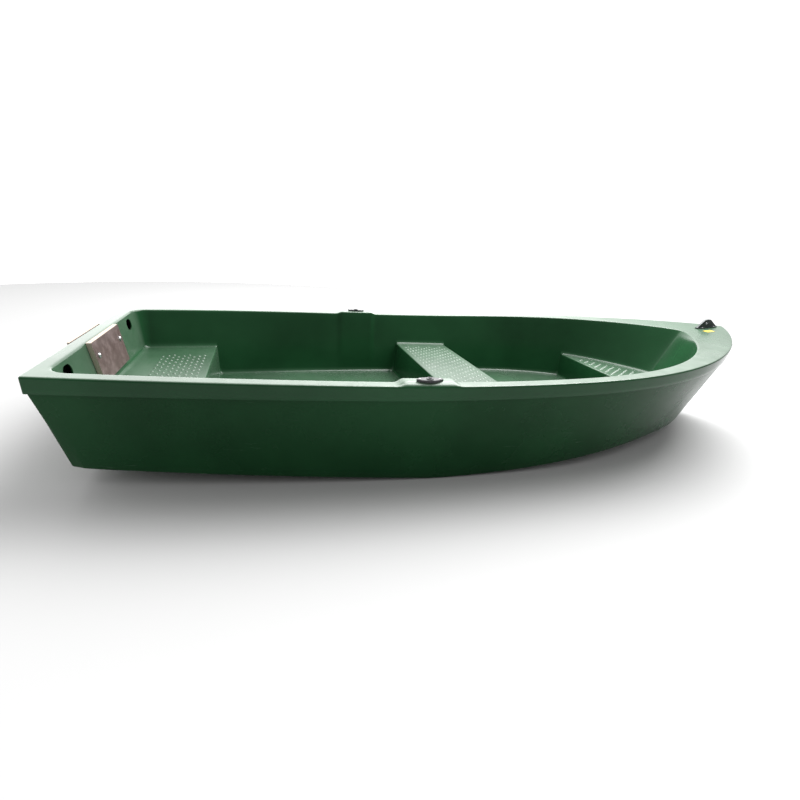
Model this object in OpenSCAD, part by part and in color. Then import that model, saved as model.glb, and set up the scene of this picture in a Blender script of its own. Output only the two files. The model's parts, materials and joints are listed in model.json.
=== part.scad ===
// Small rowing and fishing boat: an outer hull moulding and an inner liner
// moulding joined along the gunwale, with its transom pads and fittings.
// x points to the bow, y to port, z up. z = 0 is the underside of the keel.
// Stations are measured forward from the top of the transom.

/* [Boat] */
// Length of the two mouldings, from the transom lip to the bow tip
boat_l = 3600; // [3560:10:3660]
// Half of the beam over the gunwale at the widest station
beam_half = 722; // [712:2:740]
// Half of the beam over the gunwale at the transom
transom_half = 573; // [560:1:586]
// Station of the widest section
widest_s = 1742; // [1700:2:1780]
// Gunwale height above the keel, from the transom to midships
gunwale_z = 443; // [436:1:460]
// How far the gunwale rises from midships to the bow tip
bow_rise = 150; // [130:5:160]
// Transom rake from the vertical, in degrees
rake = 11.2; // [10:0.2:12.5]

/* [Mouldings] */
// Thickness of the hull laminate
hull_t = 5; // [4:0.5:5.5]
// Thickness of the liner laminate
liner_t = 4.5; // [4:0.5:5]
// Width of the gunwale along the sides
gunwale_w = 56; // [54:1:60]
// Width of the gunwale across the transom
transom_w = 52; // [50:1:56]
// Length of the bow deck on the centreline
bow_deck = 340; // [320:5:360]
// Depth of the lip that the liner turns down over the hull
lip_depth = 57; // [50:1:60]
// Gap for the bonding paste between lip and hull
bond_gap = 3.5; // [3.5:0.5:5]

/* [Cockpit] */
// Height of the stern seat above the keel
stern_seat_z = 236; // [230:1:244]
// Station of the stern seat's front edge
stern_seat_s = 455; // [440:5:470]
// Height of the centre seat above the keel
centre_seat_z = 262; // [255:1:270]
// Station of the centre seat's rear edge
centre_seat_s = 1568; // [1550:2:1590]
// Fore and aft depth of the centre seat
centre_seat_l = 347; // [330:1:360]
// Height of the bow seat above the keel
bow_seat_z = 260; // [250:1:268]
// Station of the bow seat's rear edge
bow_seat_s = 2760; // [2756:1:2764]
// Height of the floor above the keel
floor_z = 83; // [80:1:88]
// How far the floor rises towards the bow seat
floor_rise = 28; // [24:1:34]
// Radius where the cockpit sides meet seats and floor
cove_r = 30; // [24:1:34]
// Radius of the cockpit's rear corners
corner_r = 80; // [70:1:90]

/* [Fittings] */
// Station of the rowlocks
rowlock_s = 1290; // [1280:1:1310]
// Distance of a rowlock's bore from the gunwale's outer edge
rowlock_inset = 28; // [27:0.5:29]
// Height of the boss that a rowlock stands on
boss_h = 12; // [11:1:13]
// Radius of the rowlock bore
rowlock_r = 8; // [6.5:0.1:8]
// Station of the mooring eye's middle
eye_s = 3464; // [3450:1:3470]
// Radius of the hole through the mooring eye
eye_hole_r = 9; // [7:0.5:10]
// Width of the motor pads
pad_w = 345; // [325:5:365]
// Height of the motor pads
pad_h = 165; // [140:5:165]
// Thickness of the inner motor pad
pad_t = 18; // [15:1:20]
// Thickness of the outer motor pad
outer_pad_t = 9; // [6:1:12]
// Distance from a motor pad bolt to the centreline
pad_bolt_y = 138; // [125:1:145]
// Radius of the ends of the hand holds in the rear wall of the cockpit
hand_hold_r = 27; // [24:1:29]
// Half of the distance between the centres of a hand hold's round ends
hand_hold_slide = 9; // [5:1:12]
// Distance from the top of the transom down to a hand hold's middle
hand_hold_drop = 48; // [46:1:54]
// Distance from a hand hold to the centreline
hand_hold_y = 385; // [375:1:392]

/* [Drain] */
// Height of the drain's centre above the keel
drain_z = 116; // [115:1:119]
// Radius of the drain plug's shank
plug_r = 11.95; // [11.91:0.01:11.98]
// Radius of the drain socket's bore
socket_r = 12; // [12:0.01:12.01]

/* [Hidden] */

$fn = 36;
box_mid_s = (boat_l - outer_pad_t) / 2;
rake_tan = tan(rake);

// Shape of the gunwale in plan
bow_fullness = 2.8;
bow_sharpness = 1.1;
inner_fullness = 2.97;
inner_sharpness = 1.26;
inner_end_s = boat_l - bow_deck;
// Sheer: flat to here, then a smooth rise to the bow
sheer_start_s = 1091;
stern_dip = 8.5;
stern_dip_s = 1418;

// Chine: share of the gunwale's half beam, and its heights
chine_share = 0.88;
chine_share_nose = 0.75;
chine_stern_z = 80;
chine_low_s = 1373;
chine_nose_z = 72;
chine_stem_z = 84;
stem_share = 0.78;
// Keel: half widths at its foot and its root
keel_foot = 20;
keel_root = 34;

function outer_half(s) = s < widest_s
  ? transom_half + (beam_half - transom_half) * (1 - pow((widest_s - s) / widest_s, 2))
  : beam_half * pow(max(0, 1 - pow((s - widest_s) / (boat_l - widest_s), bow_fullness)), 1 / bow_sharpness);
function inner_half(s) = s < widest_s
  ? outer_half(s) - gunwale_w
  : (beam_half - gunwale_w)
    * pow(max(0, 1 - pow((s - widest_s) / (inner_end_s - widest_s), inner_fullness)), 1 / inner_sharpness);
function sheer(s) = gunwale_z - stern_dip * pow(max(0, (stern_dip_s - s) / stern_dip_s), 2)
  + bow_rise * pow(max(0, (s - sheer_start_s) / (boat_l - sheer_start_s)), 2.07);
top_z = sheer(0);
function smooth(t) = t <= 0 ? 0 : t >= 1 ? 1 : t * t * (3 - 2 * t);
function mix(a, b, t) = a + (b - a) * t;
function unit(v) = v / norm(v);
function rake_x(z) = (top_z - z) * rake_tan;
// Station where a half beam narrows to y, found by halving
function station_at(half, y, lo, hi, n = 26) = n == 0 ? (lo + hi) / 2
  : let (mid = (lo + hi) / 2)
    half(mid) > y ? station_at(half, y, mid, hi, n - 1) : station_at(half, y, lo, mid, n - 1);

// ---- Skins -------------------------------------------------------------
// A skin is a ring of columns round the boat, each a list of points from its
// rim down to its foot, and a grid of rows that fills the ring of feet.
// The ring runs up the port side, round the bow cap, down the starboard side
// and across the transom, so it has 2 * rows + 2 * cols columns.
function ring_port(j, rows, cols) = j;
function ring_starboard(j, rows, cols) = 2 * rows + cols - j;
function ring_bow(m, rows, cols) = rows + m;
function ring_stern(m, rows, cols) = (2 * rows + 2 * cols - m) % (2 * rows + 2 * cols);
function mirrored(column) = [for (p = column) [p[0], -p[1], p[2]]];
function ring(port, bow, stern) = concat(
  port, [for (m = [1:len(bow) - 2]) bow[m]],
  [for (j = [len(port) - 1:-1:0]) mirrored(port[j])],
  [for (m = [len(stern) - 2:-1:1]) stern[m]]);

// Index of a point of the grid: on its edge it is the foot of a column
function grid_index(j, m, rows, cols, levels) =
  let (n = 2 * rows + 2 * cols, foot = levels - 1)
  m == 0 ? ring_port(j, rows, cols) * levels + foot
  : m == cols ? ring_starboard(j, rows, cols) * levels + foot
  : j == 0 ? ring_stern(m, rows, cols) * levels + foot
  : j == rows ? ring_bow(m, rows, cols) * levels + foot
  : n * levels + (j - 1) * (cols - 1) + m - 1;

function skin_faces(rows, cols, levels) =
  let (n = 2 * rows + 2 * cols)
  concat(
    [for (c = [0:n - 1], k = [0:levels - 2])
      let (d = (c + 1) % n)
      each [[c * levels + k, c * levels + k + 1, d * levels + k + 1],
            [c * levels + k, d * levels + k + 1, d * levels + k]]],
    [for (j = [0:rows - 1], m = [0:cols - 1])
      let (a = grid_index(j, m, rows, cols, levels), b = grid_index(j + 1, m, rows, cols, levels),
           e = grid_index(j + 1, m + 1, rows, cols, levels), f = grid_index(j, m + 1, rows, cols, levels))
      each [[a, f, b], [b, f, e]]]);
// Label on the bow deck, in the mooring eye's frame
label_x = -72;
label_y = -80;
label_z = 0.9;

// Unit normal at a point of a column
function column_normal(columns, c, k) =
  let (n = len(columns), last = len(columns[0]) - 1,
       along = columns[(c + 1) % n][k] - columns[(c + n - 1) % n][k],
       down = columns[c][min(last, k + 1)] - columns[c][max(0, k - 1)])
  unit(cross(down, along));

// Closed shell between a skin and its copy moved by t along its normals.
// The grid and the feet bring their own moved copies.
module shell(columns, grid, moved_grid, moved_feet, t, rows, cols) {
  levels = len(columns[0]);
  n = len(columns);
  skin = concat([for (c = columns) each c], grid);
  copy = concat(
    [for (c = [0:n - 1], k = [0:levels - 1])
      k == levels - 1 ? moved_feet[c] : columns[c][k] + t * column_normal(columns, c, k)],
    moved_grid);
  faces = skin_faces(rows, cols, levels);
  count = len(skin);
  front = t < 0 ? 0 : count;
  back = t < 0 ? count : 0;
  polyhedron(
    concat(skin, copy),
    concat(
      [for (f = faces) [f[0] + front, f[1] + front, f[2] + front]],
      [for (f = faces) [f[2] + back, f[1] + back, f[0] + back]],
      [for (c = [0:n - 1])
        let (a = c * levels, b = ((c + 1) % n) * levels)
        each [[a + front, b + front, b + back], [a + front, b + back, a + back]]]),
    convexity = 8);
}

// ---- Inner liner -------------------------------------------------------
edge_r = 8;
face_tan = tan(6);
side_flare = 0.21;
seat_edge_r = 9;
seat_cove_r = 20;
lip_extra = 25;
lip_extra_s = 2900;
centre_end_s = centre_seat_s + centre_seat_l;
floor_run = bow_seat_s - centre_seat_s;
bow_floor_z = floor_z + floor_rise;
boss_half = 91;
boss_foot_half = 129;
boss_bulge = 10;

function lip(s) = lip_depth + lip_extra * smooth((s - lip_extra_s) / (boat_l - lip_extra_s));
function floor_at(s) = floor_z + floor_rise * max(0, (s - centre_seat_s) / floor_run);
function boss_share(s) = 1 - smooth((abs(s - rowlock_s) - boss_half) / (boss_foot_half - boss_half));
// Rows over a seat face at station s: fwd = 1 steps down towards the bow
function seat_face(s, high, low, fwd) =
  let (run = (high - low - seat_edge_r - seat_cove_r) * face_tan,
       points = [[-seat_edge_r, high], [-0.3 * seat_edge_r, high - 0.3 * seat_edge_r],
         [0, high - seat_edge_r], [run, low + seat_cove_r],
         [run + 0.3 * seat_cove_r, low + 0.3 * seat_cove_r], [run + seat_cove_r, low]],
       last = len(points) - 1)
  [for (i = [0:last])
    let (p = points[fwd > 0 ? i : last - i]) [s + fwd * p[0], p[1]]];
function level_rows(stations, z) = [for (s = stations) [s, z]];
function floor_rows(stations) = [for (s = stations) [s, floor_at(s)]];

// Floor and seats as rows of [station, height]
profile = concat(
  level_rows([230, 370], stern_seat_z),
  seat_face(stern_seat_s, stern_seat_z, floor_z, 1),
  floor_rows([650, 850, 1030, rowlock_s - boss_foot_half, rowlock_s - boss_half,
    rowlock_s + boss_half, rowlock_s + boss_foot_half, 1490]),
  seat_face(centre_seat_s, centre_seat_z, floor_at(centre_seat_s), -1),
  level_rows([(centre_seat_s + centre_end_s) / 2], centre_seat_z),
  seat_face(centre_end_s, centre_seat_z, floor_at(centre_end_s), 1),
  floor_rows([2080, 2240, 2400, 2560]),
  seat_face(bow_seat_s, bow_seat_z, bow_floor_z, -1));
liner_nose_s = bow_seat_s + 25;
nose_depth = sheer(liner_nose_s) - bow_seat_z;
foot_share_y = 1 - side_flare * nose_depth / inner_half(liner_nose_s);
foot_share_x = 0.7;

// One column of the liner, from the lip's edge over the gunwale to the foot
function liner_column(outer, inner, foot, inward, lip_slope, boss) =
  let (across = concat(unit(inner - outer), 0), zo = sheer(outer[0]), zi = sheer(inner[0]),
       rim = concat(outer, zo), wall = concat(inner, zi), rise = [0, 0, boss * boss_h],
       crest = wall + across * boss_bulge * boss + rise, up = [0, 0, edge_r],
       run = unit(wall - foot), t = 0.8 * cove_r, start = foot + t * run, end = foot + t * concat(inward, 0),
       high = lip(outer[0]))
  [rim + across * lip_slope * high - [0, 0, high],
   rim - up + across * lip_slope * edge_r,
   rim + 0.3 * edge_r * across - 0.3 * up,
   rim + edge_r * across,
   rim + 1.6 * edge_r * across + rise,
   crest - edge_r * across,
   crest - 0.3 * edge_r * across - 0.3 * up,
   crest - up,
   mix(wall, foot, 0.4),
   start,
   0.25 * start + 0.5 * foot + 0.25 * end,
   end];

side_lip_slope = 0.03;
nose_lip_slope = 0.12;
function lip_slope_at(s) = mix(side_lip_slope, nose_lip_slope, smooth((s - bow_seat_s) / 140));
corner_x = transom_w + corner_r;
corner_y = inner_half(corner_x) - corner_r;
rim_corner = 42;
// A column at angle a on the rounded rear corner
function corner_column(a, outer) =
  let (dir = [cos(a), sin(a)], inner = [corner_x, corner_y] + corner_r * dir,
       foot = inner - dir * (sheer(inner[0]) - stern_seat_z) * side_flare)
  liner_column(outer, inner, concat(foot, stern_seat_z), -dir, a > 135 ? rake_tan : side_lip_slope, 0);
function transom_column(y) =
  liner_column([0, y], [transom_w, y],
    [transom_w + (top_z - stern_seat_z) * rake_tan, y, stern_seat_z], [1, 0], rake_tan, 0);
function side_column(s, z) =
  liner_column([s, outer_half(s)], [s, inner_half(s)],
    [s, inner_half(s) - side_flare * (sheer(s) - z), z], [0, -1], side_lip_slope, boss_share(s));
// A column of the nose, whose foot is drawn in towards the bow seat
function nose_column(outer, inner) =
  let (foot = [liner_nose_s + foot_share_x * (inner[0] - liner_nose_s), foot_share_y * inner[1]],
       inward = unit([liner_nose_s, 0] - foot))
  liner_column(outer, inner, concat(foot, bow_seat_z), inward, lip_slope_at(outer[0]), 0);

cap_half = 150;
cap_shares = [1, 0.8, 0.56, 0.3, 0.1, 0, -0.1, -0.3, -0.56, -0.8, -1];
cap_inner_s = station_at(function (s) inner_half(s), cap_half, liner_nose_s, inner_end_s);
cap_way = (cap_inner_s - liner_nose_s) / (inner_end_s - liner_nose_s);
cap_outer_half = outer_half(mix(liner_nose_s, boat_l, cap_way));
liner_cap = [for (share = cap_shares)
  let (yo = share * cap_outer_half, yi = share * cap_half)
  nose_column([station_at(function (s) outer_half(s), abs(yo), liner_nose_s, boat_l), yo],
    [station_at(function (s) inner_half(s), abs(yi), liner_nose_s, inner_end_s), yi])];
rear_corner = [corner_column(135, [0, transom_half]), corner_column(157.5, [0, transom_half - rim_corner])];
liner_stern = concat(rear_corner,
  [for (share = [1, 0.6, 0.25, 0, -0.25, -0.6, -1]) transom_column(share * corner_y)],
  [mirrored(rear_corner[1]), mirrored(rear_corner[0])]);
nose_ways = [0.17, 0.36, 0.55, 0.72, 0.87];
liner_port = concat(
  [liner_stern[0], corner_column(112.5, [rim_corner + 30, outer_half(rim_corner + 30)]),
   side_column(corner_x, stern_seat_z)],
  [for (p = profile) side_column(p[0], p[1])],
  [for (way = nose_ways)
    let (so = mix(liner_nose_s, boat_l, way * cap_way), si = mix(liner_nose_s, inner_end_s, way * cap_way))
    nose_column([so, outer_half(so)], [si, inner_half(si)])],
  [liner_cap[0]]);
liner_rows = len(liner_port) - 1;
liner_cols = len(liner_cap) - 1;
liner_ring = ring(liner_port, liner_cap, liner_stern);
liner_foot = len(liner_ring[0]) - 1;
// Normals of the rows, from their neighbours along the boat
liner_feet = [for (c = liner_port) c[liner_foot]];
row_normals = [for (j = [0:liner_rows])
  let (a = liner_feet[max(0, j - 1)], b = liner_feet[min(liner_rows, j + 1)])
  unit([a[2] - b[2], 0, b[0] - a[0]])];
row_shares = [for (c = liner_stern) c[liner_foot][1] / liner_feet[0][1]];
liner_grid = [for (j = [1:liner_rows - 1], m = [1:liner_cols - 1])
  let (f = liner_feet[j]) [f[0], f[1] * row_shares[m], f[2]]];
liner_grid_moved = [for (j = [1:liner_rows - 1], m = [1:liner_cols - 1])
  liner_grid[(j - 1) * (liner_cols - 1) + m - 1] - liner_t * row_normals[j]];
liner_ring_rows = concat([for (j = [0:liner_rows]) j], [for (m = [1:liner_cols - 1]) liner_rows],
  [for (j = [liner_rows:-1:0]) j], [for (m = [1:liner_cols - 1]) 0]);
liner_feet_moved = [for (c = [0:len(liner_ring) - 1])
  liner_ring[c][liner_foot] - liner_t * row_normals[liner_ring_rows[c]]];

// ---- Outer hull --------------------------------------------------------
hull_inset = liner_t + bond_gap;
hull_nose_s = 2750;
chine_r = 12;
keel_start_s = 110;
keel_flat_s = 2100;
keel_bow_z = 45;

function chine_z(s) = s < chine_low_s ? chine_stern_z * (1 - s / chine_low_s)
  : s < hull_nose_s ? chine_nose_z * smooth((s - chine_low_s) / (hull_nose_s - chine_low_s))
  : mix(chine_nose_z, chine_stem_z, smooth((s - hull_nose_s) / (boat_l - hull_nose_s)));
function share_at(s) = chine_share - (chine_share - chine_share_nose)
  * pow(min(1, max(0, (s - widest_s) / (hull_nose_s - widest_s))), 2);
function keel_z(s) = s < keel_start_s ? chine_z(s)
  : keel_bow_z * smooth((s - keel_flat_s) / (boat_l - 300 - keel_flat_s));
transom_foot_z = chine_stern_z - 5;
// One column of the hull: top edge, lip, side and chine, above the point rim
function hull_column(rim, inside, chine, inward, rake_in, ridge) =
  let (edge = concat(rim, sheer(rim[0])) + hull_inset * concat(inside, 0),
       top = edge - [0, 0, liner_t + bond_gap], drop = lip(rim[0]) - 6,
       under = edge + concat(inside, 0) * (2 + rake_in * drop) - [0, 0, drop],
       bump = -ridge * concat(inside, 0),
       start = chine + chine_r * unit(under - chine), end = chine + chine_r * concat(inward, 0))
  [top, under, mix(under, chine, 0.3), mix(under, chine, 0.6) + 0.5 * bump, start + bump,
   0.25 * start + 0.5 * chine + 0.25 * end + bump, end];
function hull_side(s) =
  let (y = outer_half(s), x = s > hull_nose_s ? mix(hull_nose_s, s, stem_share) : s,
       centre = [min(s, hull_nose_s), 0])
  hull_column([s, y], unit(centre - [s, y]), [x, y * share_at(s), chine_z(x)],
    unit([min(x, hull_nose_s), 0] - [x, y * share_at(s)]), lip_slope_at(s + 60), 0);
function hull_tip(y, ridge) =
  let (s = station_at(function (s) outer_half(s), abs(y), hull_nose_s, boat_l), x = mix(hull_nose_s, s, stem_share),
       chine = [x, y * chine_share_nose])
  hull_column([s, y], unit([hull_nose_s, 0] - [s, y]), concat(chine, chine_z(x)),
    unit([hull_nose_s, 0] - chine), nose_lip_slope, ridge);
function hull_transom(share, inside) =
  hull_column([0, transom_half * share], inside,
    [rake_x(transom_foot_z), transom_half * share * chine_share, transom_foot_z], inside, rake_tan, 0);
// Widths at which the bottom's columns lie, from the chine to the middle
function bottom_ys(half) = let (k = min(keel_root, 0.4 * half), f = min(keel_foot, 0.25 * half))
  [half, 0.62 * half, k, f, 0, -f, -k, -0.62 * half, -half];
hull_cols = 8;
tip_half = 60;
stem_ridge = [0, 0, 4, 22, 24, 22, 4, 0, 0];
hull_cap = [for (m = [0:hull_cols]) hull_tip(bottom_ys(tip_half)[m], stem_ridge[m])];
hull_stern = [for (m = [0:hull_cols])
  hull_transom(bottom_ys(transom_half)[m] / transom_half,
    m == 0 ? [0.7, -0.7] : m == hull_cols ? [0.7, 0.7] : [1, 0])];
hull_stations = [keel_start_s, 300, 520, 760, 1000, 1200, 1373, 1560, 1742, 1900, 2050, 2200, 2350, 2500,
  2630, 2750, 2850, 2950, 3050, 3150, 3240, 3320, 3390, 3450, 3500];
hull_port = concat([hull_stern[0]], [for (s = hull_stations) hull_side(s)], [hull_cap[0]]);
hull_rows = len(hull_port) - 1;
hull_ring = ring(hull_port, hull_cap, hull_stern);
hull_foot = len(hull_ring[0]) - 1;
function bottom_point(f, m) =
  let (z = max(0, f[2] - 1), y = bottom_ys(f[1])[m])
  [f[0], y, m >= 3 && m <= hull_cols - 3 ? min(z, keel_z(f[0])) : z];
hull_grid = [for (j = [1:hull_rows - 1], m = [1:hull_cols - 1])
  bottom_point(hull_port[j][hull_foot], m)];
hull_grid_moved = [for (j = [1:hull_rows - 1], m = [1:hull_cols - 1])
  let (f = hull_port[j][hull_foot]) [f[0], bottom_ys(f[1])[m], f[2] + hull_t]];
hull_feet_moved = [for (c = hull_ring) c[hull_foot] + [0, 0, hull_t]];

// ---- Helpers for the fittings ------------------------------------------
// Moves from a station to the part's own frame
module at_station(s, y = 0, z = 0) translate([s - box_mid_s, y, z]) children();
// Moves onto a plane parallel to the transom at depth d, with z pointing aft, square to it
module on_transom(y, z, d) at_station(rake_x(z) + d, y, z) rotate([0, -90 - rake, 0]) children();
// Outline of [depth, height] points drawn parallel to the transom and made w wide
module raked_board(points, w) at_station(0) rotate([90, 0, 0]) linear_extrude(w, center = true)
  polygon([for (p = points) [p[0] + rake_x(p[1]), p[1]]]);
// Foam block with one half of its outline given as [station, half width]
module foam_block(points, low, high) color(foam) at_station(0, 0, low) linear_extrude(high - low)
  polygon(concat(points, [for (i = [len(points) - 1:-1:0]) [points[i][0], -points[i][1]]]));

green = [0.1, 0.27, 0.13];
ply = [0.5, 0.42, 0.4];
wood = [0.76, 0.6, 0.42];
steel = [0.8, 0.8, 0.82];
black = [0.12, 0.13, 0.13];
foam = [0.9, 0.86, 0.72];
yellow = [0.9, 0.75, 0.1];

small_fn = 20;
gap = 0.5;
bolt_r = 4;
bolt_hole_r = 4.3;
washer_t = 2;
pad_face_d = transom_w + gap + pad_t;
pad_bolt_z = top_z - 58;
// Distance through both pads, square to the transom
pad_grip = (pad_face_d + outer_pad_t) * cos(rake);
hull_lip_z = top_z - lip(0) + 6;
// Depth of the hull's outer face at height z
function hull_face(z) = (hull_inset + 2) * (z - transom_foot_z) / (hull_lip_z - transom_foot_z);
core_d = hull_inset + hull_t + 4;
core_half = 220;
core_t = transom_w - liner_t - core_d - 3;

rowlock_tube_r = 10.5;
rowlock_tube_l = 50;
plate_l = 104;
plate_w = 38;
plate_t = 9;
seat_gap = 1;
plate_r = (pow(plate_l + 6, 2) + pow(plate_w, 2)) / (4 * plate_w);
rowlock_y = outer_half(rowlock_s) - rowlock_inset;
rowlock_z = sheer(rowlock_s) + boss_h;
rowlock_screw_x = 40;
rowlock_screw_r = 2.5;
block_t = 18;
// Top of the backing blocks below the boss, and their inner and outer edges from the bore
block_drop = boss_h + liner_t + 1;
block_in = 16;
block_out = 13;
// Turn of each backing block, along the edge of the hull beside it
block_turn = atan((outer_half(rowlock_s + 50) - outer_half(rowlock_s - 50)) / 100);

// Length of the bow deck between its rounded edges
deck_flat = bow_deck - 2.6 * edge_r;
eye_slope = atan((sheer(boat_l) - sheer(inner_end_s)) / deck_flat);
eye_z = mix(sheer(inner_end_s), sheer(boat_l), (eye_s - inner_end_s - edge_r) / deck_flat);
eye_base_t = 6;
eye_h = 54;
eye_t = 12;
eye_bolt_r = 3;
eye_bolt_x = 46;
eye_bolt_y = 13.2;

drain_pipe_r = 15;
drain_flange_r = 32;
drain_flange_t = 4;
drain_barrel_r = 19;
seal_t = 2.4;
drain_seat_s = rake_x(drain_z + drain_barrel_r) - 8;
drain_screw_y = 25.5;
drain_screw_r = 2;
drain_end_s = stern_seat_s + (stern_seat_z - seat_edge_r - drain_z) * face_tan;

module for_pad_bolts() for (side = [-1, 1])
  on_transom(side * pad_bolt_y, pad_bolt_z, pad_face_d) children();
module pad_bolt_holes() for_pad_bolts()
  translate([0, 0, -10]) cylinder(r = bolt_hole_r, h = 120, $fn = small_fn);
module at_rowlock(side) at_station(rowlock_s, side * rowlock_y, rowlock_z) children();
module rowlock_holes(r, screw_r) for (side = [-1, 1]) at_rowlock(side) translate([0, 0, -60]) {
  cylinder(r = r, h = 80);
  for (end = [-1, 1]) translate([end * rowlock_screw_x, 0, 0]) cylinder(r = screw_r, h = 80, $fn = small_fn);
}
module at_eye() at_station(eye_s, 0, eye_z) rotate([0, -eye_slope, 0]) children();
module for_eye_bolts() at_eye() for (x = [-1, 1], y = [-1, 1])
  translate([x * eye_bolt_x, y * eye_bolt_y, 0]) children();
module eye_bolt_holes() for_eye_bolts()
  translate([0, 0, -20]) cylinder(r = eye_bolt_r + 0.3, h = 40, $fn = small_fn);
// Along the drain: z runs forward from station s
module on_drain(s) at_station(s, 0, drain_z) rotate([0, 90, 0]) children();
module drain_screw_holes(r) for (side = [-1, 1])
  on_transom(side * drain_screw_y, drain_z, hull_face(drain_z)) translate([0, 0, -18])
    cylinder(r = r, h = 40, $fn = small_fn);
module nut(r, bore, h) difference() {
  cylinder(r = r, h = h, $fn = 6);
  translate([0, 0, -1]) cylinder(r = bore, h = h + 2, $fn = small_fn);
}

// ---- Sub-parts ---------------------------------------------------------
module outer_hull() color(green) difference() {
  at_station(0)
    shell(hull_ring, hull_grid, hull_grid_moved, hull_feet_moved, hull_t, hull_rows, hull_cols);
  pad_bolt_holes();
  on_drain(drain_seat_s) cylinder(r = drain_pipe_r + 1, h = 60);
  drain_screw_holes(drain_screw_r + 0.2);
}

module inner_liner() color(green) difference() {
  at_station(0)
    shell(liner_ring, liner_grid, liner_grid_moved, liner_feet_moved, -liner_t, liner_rows, liner_cols);
  for_pad_bolts() translate([0, 0, -10]) cylinder(r = bolt_hole_r, h = 50, $fn = small_fn);
  for (side = [-1, 1]) on_transom(side * hand_hold_y, top_z - hand_hold_drop, transom_w + 20)
    linear_extrude(34) hull() for (end = [-1, 1]) translate([0, end * hand_hold_slide]) circle(hand_hold_r);
  rowlock_holes(rowlock_tube_r + 0.5, rowlock_screw_r + 0.3);
  eye_bolt_holes();
  on_drain(drain_end_s - 25) cylinder(r = drain_pipe_r + 0.5, h = 50);
}

module transom_core() color(wood) difference() {
  raked_board([[core_d, 140], [core_d + core_t, 140],
    [core_d + core_t, top_z - 16], [core_d, top_z - 16]], 2 * core_half);
  pad_bolt_holes();
}

module inner_motor_pad() color(ply) difference() {
  raked_board([[transom_w + gap, top_z - pad_h], [pad_face_d, top_z - pad_h],
    [pad_face_d, top_z], [transom_w + gap, top_z]], pad_w);
  pad_bolt_holes();
}

// Rebated to lie on the lip above and on the hull below
module outer_motor_pad() color(ply) difference() {
  raked_board([[-outer_pad_t, top_z - pad_h], [hull_face(top_z - pad_h) - gap, top_z - pad_h],
    [hull_face(hull_lip_z - 10) - gap, hull_lip_z - 10], [-gap, hull_lip_z - 10],
    [-gap, top_z - edge_r], [-gap, top_z], [-outer_pad_t, top_z]], pad_w);
  pad_bolt_holes();
}

module motor_pad_bolts() color(steel) for_pad_bolts() {
  translate([0, 0, -washer_t]) cylinder(r = bolt_r, h = pad_grip + washer_t + 10, $fn = small_fn);
  translate([0, 0, -washer_t]) rotate([180, 0, 0]) intersection() {
    cylinder(r = 9, h = 5);
    translate([0, 0, -6.5]) sphere(r = 11.5, $fn = small_fn);
  }
}

module motor_pad_washers() color(steel) for_pad_bolts() translate([0, 0, 0.1 - washer_t]) difference() {
  cylinder(r = 12, h = washer_t - 0.2);
  translate([0, 0, -1]) cylinder(r = bolt_r + 0.3, h = washer_t + 2, $fn = small_fn);
}

module motor_pad_nuts() color(steel) for_pad_bolts() translate([0, 0, pad_grip + 0.2]) nut(7.5, bolt_r + 0.2, 6.5);

module rowlock_socket(side) color(black) at_rowlock(side) difference() {
  union() {
    translate([0, 0, seat_gap]) linear_extrude(plate_t - seat_gap) intersection() {
      translate([0, plate_r - plate_w / 2]) circle(plate_r, $fn = 120);
      translate([0, plate_w / 2 - plate_r]) circle(plate_r, $fn = 120);
      square([plate_l, plate_w], center = true);
    }
    translate([0, 0, seat_gap]) cylinder(r = rowlock_tube_r + 3, h = plate_t + 3 - seat_gap);
    translate([0, 0, -rowlock_tube_l]) cylinder(r = rowlock_tube_r, h = rowlock_tube_l + seat_gap + 1);
  }
  translate([0, 0, -rowlock_tube_l - 1]) cylinder(r = rowlock_r, h = rowlock_tube_l + plate_t + 6);
  for (end = [-1, 1]) translate([end * rowlock_screw_x, 0, -1])
    cylinder(r = rowlock_screw_r + 0.2, h = plate_t + 2, $fn = small_fn);
}
module rowlock_socket_port() rowlock_socket(1);
module rowlock_socket_starboard() rowlock_socket(-1);

module rowlock_screws() color(steel) for (side = [-1, 1], end = [-1, 1])
  at_rowlock(side) translate([end * rowlock_screw_x, 0, plate_t + 0.1]) {
    cylinder(r1 = 4.6, r2 = 3, h = 2.4, $fn = small_fn);
    translate([0, 0, -40]) cylinder(r = rowlock_screw_r, h = 41, $fn = small_fn);
  }

module rowlock_backing_blocks() color(wood) difference() {
  for (side = [-1, 1]) at_rowlock(side) rotate([0, 0, side * block_turn])
    translate([0, side * (block_out - block_in) / 2, -block_drop - block_t / 2])
      cube([2 * boss_half - 16, block_in + block_out, block_t], center = true);
  rowlock_holes(rowlock_tube_r + 0.4, rowlock_screw_r + 0.2);
}

module mooring_eye() color(black) difference() {
  at_eye() union() {
    translate([0, 0, gap]) linear_extrude(eye_base_t - gap) hull() for (end = [-1, 1])
      translate([end * 64, 0]) circle(18);
    rotate([90, 0, 0]) linear_extrude(eye_t, center = true) hull() {
      for (end = [-1, 1]) translate([end * 74, 4]) circle(3, $fn = small_fn);
      translate([-48, 22]) circle(8, $fn = small_fn);
      for (x = [-16, 12]) translate([x, eye_h - 22]) circle(20);
    }
  }
  at_eye() translate([-6, 0, eye_h - 22]) rotate([90, 0, 0]) cylinder(r = eye_hole_r, h = eye_t + 2, center = true);
  eye_bolt_holes();
}

module mooring_eye_bolts() color(steel) for_eye_bolts() {
  translate([0, 0, eye_base_t + 0.1]) cylinder(r1 = 5.4, r2 = 3.6, h = 3, $fn = small_fn);
  translate([0, 0, -19]) cylinder(r = eye_bolt_r, h = 26, $fn = small_fn);
}

module mooring_eye_backing_plate() color(steel) difference() {
  at_eye() translate([0, 0, -liner_t - 2.5]) cube([124, 44, 3], center = true);
  eye_bolt_holes();
}

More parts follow.
